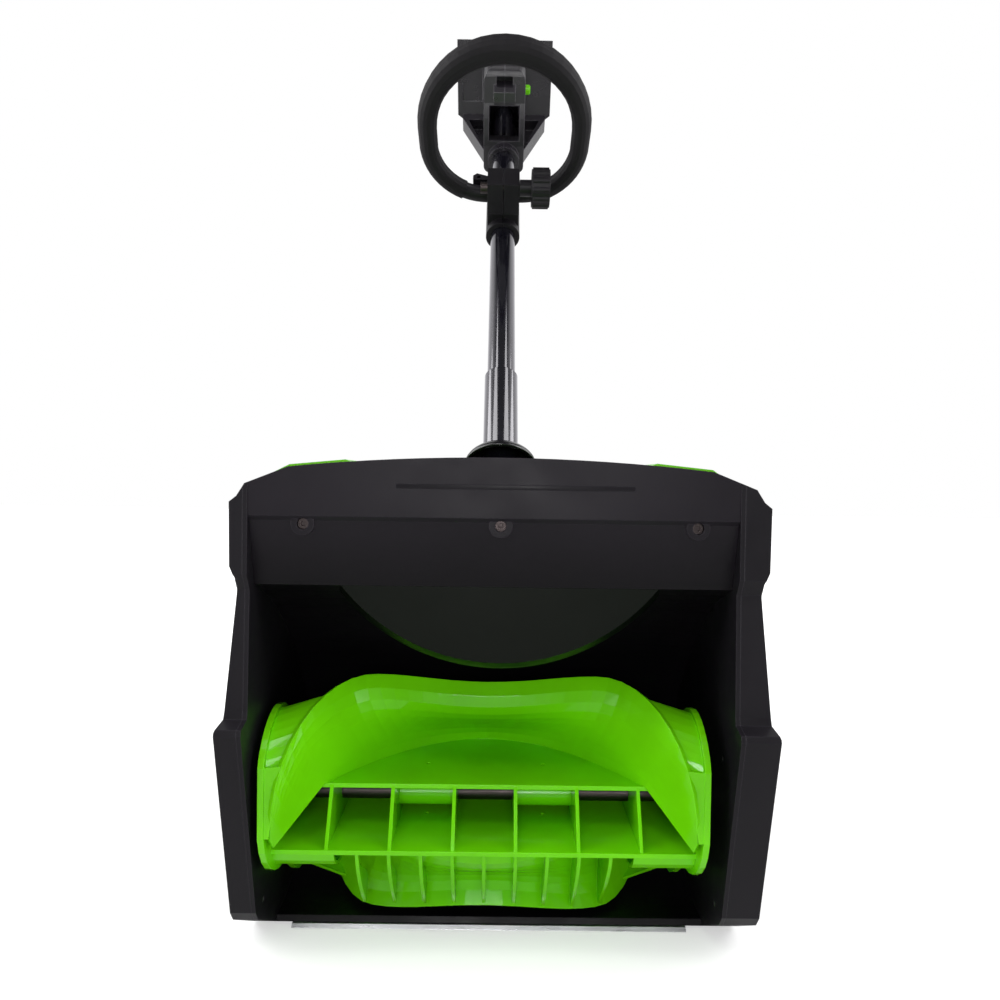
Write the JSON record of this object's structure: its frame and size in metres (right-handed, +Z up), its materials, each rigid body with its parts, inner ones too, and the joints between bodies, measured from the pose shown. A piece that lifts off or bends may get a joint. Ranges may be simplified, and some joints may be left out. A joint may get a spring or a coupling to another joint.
{
  "type": "snow blower",
  "caption": "Cordless power snow shovel: black scoop housing, green two-bucket auger, leaning shaft, adjustable loop handle and a rear trigger handle with a slide-on battery.",
  "frame": {"origin": "the ground plane under the auger's axis, at mid width of the housing", "axes": "+X to the right as seen from the front, +Y to the rear along the housing, +Z up"},
  "size_m": [0.35, 0.593, 0.9007],
  "materials": {
    "housing_black": "satin moulded",
    "grip_rubber": "soft matte",
    "auger_green": "glossy moulded",
    "deck_green": "glossy moulded",
    "tube_black": "gloss black powder coat",
    "knob_black": "fine grained",
    "bare_steel": "brushed",
    "zinc_steel": "zinc plated",
    "dark_steel": "black oxide",
    "motor_silver": "cast",
    "pulley_black": "moulded",
    "belt_rubber": "matte",
    "cell_wrap": "film wrapped",
    "terminal_brass": "plated"
  },
  "bodies": {
    "base": {"hood_shell": "housing_black", "dome_bay": "housing_black", "left_wall": "housing_black", "right_wall": "housing_black", "left_side_plate": "housing_black", "right_side_plate": "housing_black", "deck_cover": "deck_green", "rear_cover": "housing_black", "scraper_bar": "bare_steel", "scraper_screws": "zinc_steel", "lip_screws": "dark_steel", "plate_screws": "zinc_steel", "skid_shoes": "knob_black", "left_bearing": "bare_steel", "right_bearing": "bare_steel", "bearing_cap": "knob_black", "drive_belt": "belt_rubber", "motor_can": "motor_silver", "motor_flange": "motor_silver", "motor_screws": "zinc_steel", "control_unit": "housing_black", "tube_socket": "housing_black", "socket_screws": "zinc_steel", "shaft_boot": "grip_rubber", "lower_tube": "tube_black", "upper_tube": "tube_black", "power_cable": "belt_rubber", "handle_left": "housing_black", "handle_right": "housing_black", "handle_screws": "zinc_steel", "grip_cap": "grip_rubber", "trigger_spring": "bare_steel", "trigger_switch": "knob_black", "battery_dock": "housing_black", "dock_terminals": "terminal_brass"},
    "auger": {"auger_rotor": "auger_green", "auger_shaft": "dark_steel", "auger_pins": "bare_steel", "driven_pulley": "pulley_black"},
    "motor_rotor": {"motor_shaft": "bare_steel", "drive_pulley": "bare_steel"},
    "clamp": {"clamp_left": "knob_black", "clamp_right": "knob_black", "clamp_bolt": "dark_steel"},
    "loop": {"loop_tube": "tube_black", "loop_grip": "grip_rubber"},
    "knob": {"clamp_knob": "knob_black"},
    "trigger_lever": {"trigger": "knob_black"},
    "lock": {"lock_button": "deck_green"},
    "battery": {"battery_case": "housing_black", "battery_cells": "cell_wrap"},
    "latch": {"battery_latch": "deck_green"},
    "snap": {"snap_button": "bare_steel"}
  },
  "joints": [
    {"name": "auger_spin", "type": "hinge", "parent": "base", "child": "auger", "pos_m": [0, 0, 0.0955], "axis": [1, 0, 0], "continuous": true},
    {"name": "motor_spin", "type": "hinge", "parent": "base", "child": "motor_rotor", "pos_m": [0, 0.122, 0.2075], "axis": [1, 0, 0], "continuous": true},
    {"name": "clamp_slide", "type": "slide", "parent": "base", "child": "clamp", "axis": [0, 0.5592, 0.829], "range_m": [-0.1, 0.06]},
    {"name": "loop_tilt", "type": "hinge", "parent": "clamp", "child": "loop", "pos_m": [0, 0.25654, 0.62428], "axis": [-1, 0, 0], "range_deg": [-10, 25]},
    {"name": "knob_turn", "type": "hinge", "parent": "clamp", "child": "knob", "pos_m": [0, 0.21641, 0.61577], "axis": [1, 0, 0], "continuous": true},
    {"name": "trigger_pull", "type": "hinge", "parent": "base", "child": "trigger_lever", "pos_m": [0, 0.33383, 0.81219], "axis": [-1, 0, 0], "range_deg": [0, 7], "stiffness_Nm_per_rad": 0.3, "springref_deg": -11.46},
    {"name": "lock_press", "type": "slide", "parent": "base", "child": "lock", "axis": [-1, 0, 0], "range_m": [0, 0.004], "stiffness_N_per_m": 300, "springref_m": -0.002},
    {"name": "snap_press", "type": "slide", "parent": "base", "child": "snap", "axis": [0, -0.829, 0.5592], "range_m": [0, 0.003], "stiffness_N_per_m": 600, "springref_m": -0.002},
    {"name": "battery_slide", "type": "slide", "parent": "base", "child": "battery", "axis": [0, 0.866, 0.5], "range_m": [0, 0.1]},
    {"name": "latch_press", "type": "slide", "parent": "battery", "child": "latch", "axis": [0, 0.5, -0.866], "range_m": [0, 0.0025], "stiffness_N_per_m": 500, "springref_m": -0.002}
  ],
  "couplings": [
    {"joint": "motor_spin", "follows": "auger_spin", "ratio": 3.2222}
  ]
}
